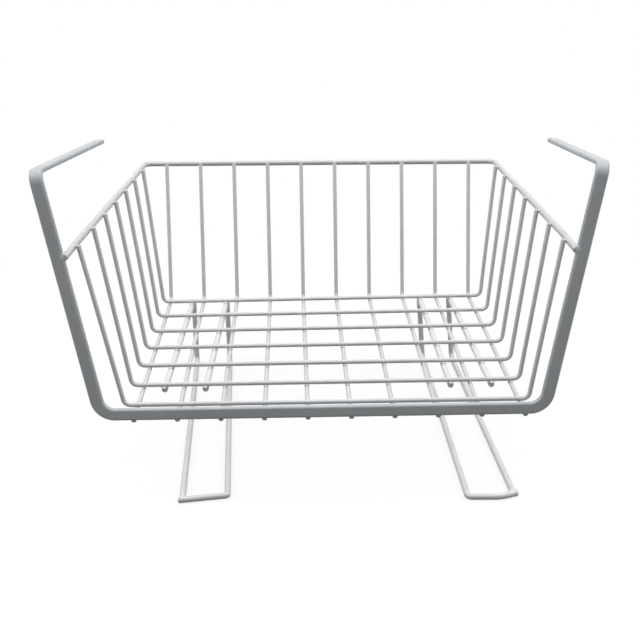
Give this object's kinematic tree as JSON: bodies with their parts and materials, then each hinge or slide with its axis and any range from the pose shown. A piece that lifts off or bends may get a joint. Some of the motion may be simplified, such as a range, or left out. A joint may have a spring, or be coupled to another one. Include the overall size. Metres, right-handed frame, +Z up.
{
  "type": "under-shelf wire basket",
  "caption": "Welded wire basket that hooks under a shelf board by two flat-bar arms, open in front, with a lower tier of hairpin rod loops.",
  "frame": {"origin": "below the middle of the bounding box, level with the lowest point of the two lower loops", "axes": "+X to the right seen from the open front, +Y from the open front to the back wall, +Z up"},
  "size_m": [0.4086, 0.3334, 0.2489],
  "materials": {
    "bar_coat": "satin silver grey powder coat over welded steel",
    "rim_coat": "satin silver grey powder coat over welded steel",
    "wire_coat": "satin silver grey powder coat over welded steel",
    "rod_coat": "satin silver grey powder coat over welded steel"
  },
  "bodies": {
    "root": {"front_frame_bar": "bar_coat", "rim_wire": "rim_coat", "cross_wire_01": "wire_coat", "cross_wire_02": "wire_coat", "cross_wire_03": "wire_coat", "cross_wire_04": "wire_coat", "cross_wire_05": "wire_coat", "cross_wire_06": "wire_coat", "cross_wire_07": "wire_coat", "long_wire_01": "wire_coat", "long_wire_02": "wire_coat", "long_wire_03": "wire_coat", "long_wire_04": "wire_coat", "long_wire_05": "wire_coat", "long_wire_06": "wire_coat", "long_wire_07": "wire_coat", "long_wire_08": "wire_coat", "long_wire_09": "wire_coat", "long_wire_10": "wire_coat", "left_loop_inner_rod": "rod_coat", "left_loop_outer_rod": "rod_coat", "right_loop_inner_rod": "rod_coat", "right_loop_outer_rod": "rod_coat"}
  },
  "joints": []
}
